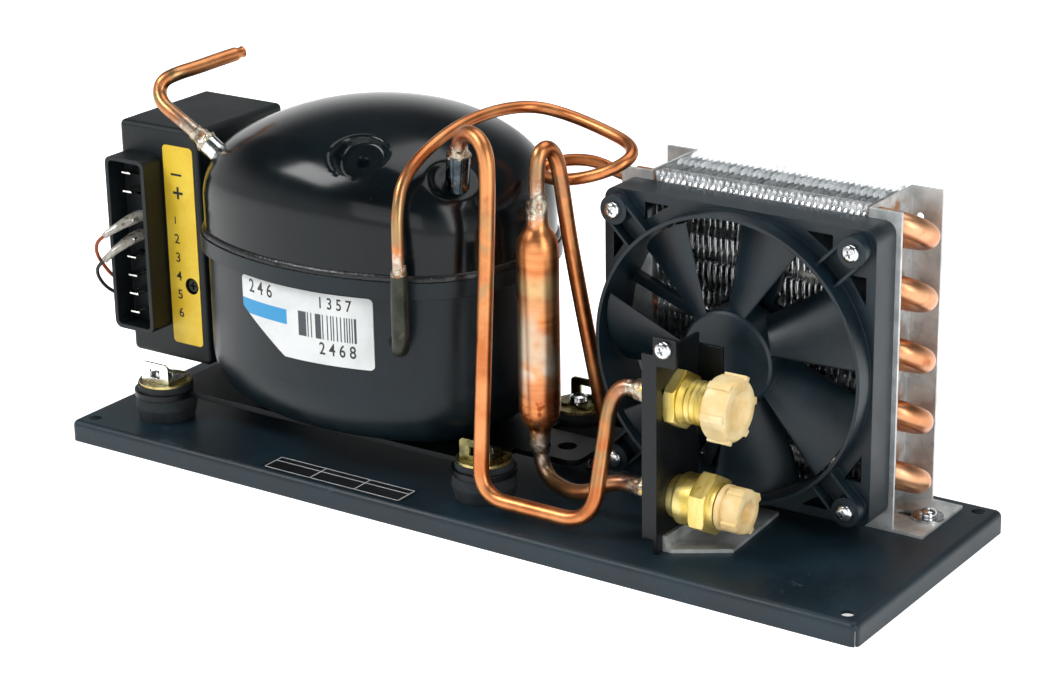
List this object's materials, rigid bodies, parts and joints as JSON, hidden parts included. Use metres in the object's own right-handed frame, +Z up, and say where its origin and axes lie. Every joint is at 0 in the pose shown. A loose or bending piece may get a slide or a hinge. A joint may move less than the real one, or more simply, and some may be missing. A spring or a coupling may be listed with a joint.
{
  "type": "refrigeration condensing unit",
  "caption": "Small hermetic refrigeration condensing unit on a sheet tray, with compressor, drier, fan-cooled finned condenser and two capped couplings.",
  "frame": {"origin": "middle of the tray's footprint, on the face that the tray's rim rests on", "axes": "+X along the tray from the electronic unit to the condenser, +Y from the couplings' side to the back, +Z up"},
  "size_m": [0.386, 0.125, 0.166],
  "materials": {
    "tray_coat": "semi-matt charcoal powder coat",
    "pot_paint": "satin dark grey enamel",
    "lid_enamel": "gloss black enamel",
    "weld_paint": "painted rough weld",
    "plate_paint": "satin black enamel",
    "mount_rubber": "matt moulded rubber",
    "yellow_zinc": "yellow passivated zinc",
    "bright_zinc": "bright zinc plate",
    "grey_steel": "bare mild steel",
    "dark_steel": "heat-darkened steel",
    "copper": "drawn copper tube, heat-stained at the joints",
    "brass": "machined brass",
    "ivory_plastic": "ivory polyethylene",
    "fin_aluminium": "bright fin stock",
    "galvanised": "galvanised sheet",
    "fan_plastic": "fine-grained blue-black plastic",
    "unit_plastic": "grained black plastic",
    "yellow_print": "printed yellow film",
    "white_print": "printed white film",
    "lead_sleeve": "clear sleeve over tinned brass",
    "brown_lead": "brown insulation",
    "black_lead": "black insulation",
    "blade_tin": "tinned brass",
    "board_green": "solder-masked laminate",
    "cast_grey": "machined casting",
    "lamination": "stacked laminations",
    "magnet_dark": "bonded magnet"
  },
  "bodies": {
    "unit": {"base_tray": "tray_coat", "compressor_foot_plate": "plate_paint", "rubber_grommets": "mount_rubber", "mounting_pins": "bright_zinc", "grommet_washers": "yellow_zinc", "mounting_clips": "yellow_zinc", "compressor_pot": "pot_paint", "compressor_lid": "lid_enamel", "weld_bead": "weld_paint", "compressor_label": "white_print", "suction_stub": "dark_steel", "process_stub": "bright_zinc", "discharge_stub": "dark_steel", "hermetic_terminal": "grey_steel", "motor_stator": "lamination", "motor_windings": "copper", "cylinder_block": "cast_grey", "cylinder_head": "cast_grey", "suspension_springs": "grey_steel", "internal_discharge_tube": "dark_steel", "electronics_housing": "unit_plastic", "electronics_cover": "unit_plastic", "circuit_board": "board_green", "terminal_shroud": "unit_plastic", "terminal_blades": "blade_tin", "housing_screw": "bright_zinc", "terminal_label": "yellow_print", "spade_connectors": "lead_sleeve", "fan_lead_positive": "brown_lead", "fan_lead_negative": "black_lead", "process_tube": "copper", "suction_tube": "copper", "discharge_tube": "copper", "filter_drier": "copper", "drier_inlet_tube": "copper", "liquid_tube": "copper", "condenser_fins": "fin_aluminium", "condenser_tubes": "copper", "return_bends": "copper", "end_plate_right": "galvanised", "end_plate_left": "galvanised", "pan_head_screws": "bright_zinc", "fan_frame": "fan_plastic", "fan_stator": "lamination", "fan_bearing": "brass", "fan_screws": "bright_zinc", "coupling_bracket": "plate_paint", "bracket_foot": "grey_steel", "coupling_nuts": "dark_steel", "upper_coupling_body": "brass", "lower_coupling_body": "brass"},
    "fan": {"fan_rotor": "fan_plastic", "fan_shaft": "grey_steel", "fan_magnet_ring": "magnet_dark"},
    "crank": {"motor_rotor": "lamination", "crankshaft": "grey_steel"},
    "piston_and_rod": {"piston": "grey_steel", "connecting_rod": "cast_grey"},
    "cap": {"upper_cap": "ivory_plastic"},
    "plug": {"lower_plug": "ivory_plastic"}
  },
  "joints": [
    {"name": "fan_spin", "type": "hinge", "parent": "unit", "child": "fan", "pos_m": [0.1035, 0, 0.0761], "axis": [0, -1, 0], "continuous": true},
    {"name": "crank_spin", "type": "hinge", "parent": "unit", "child": "crank", "pos_m": [-0.0667, 0, 0.06], "axis": [0, 0, 1], "continuous": true},
    {"name": "piston_stroke", "type": "slide", "parent": "unit", "child": "piston_and_rod", "axis": [1, 0, 0], "range_m": [-0.003, 0.003]},
    {"name": "cap_off", "type": "slide", "parent": "unit", "child": "cap", "axis": [1, 0, 0], "range_m": [0, 0.02]},
    {"name": "plug_out", "type": "slide", "parent": "unit", "child": "plug", "axis": [1, 0, 0], "range_m": [0, 0.02]}
  ]
}
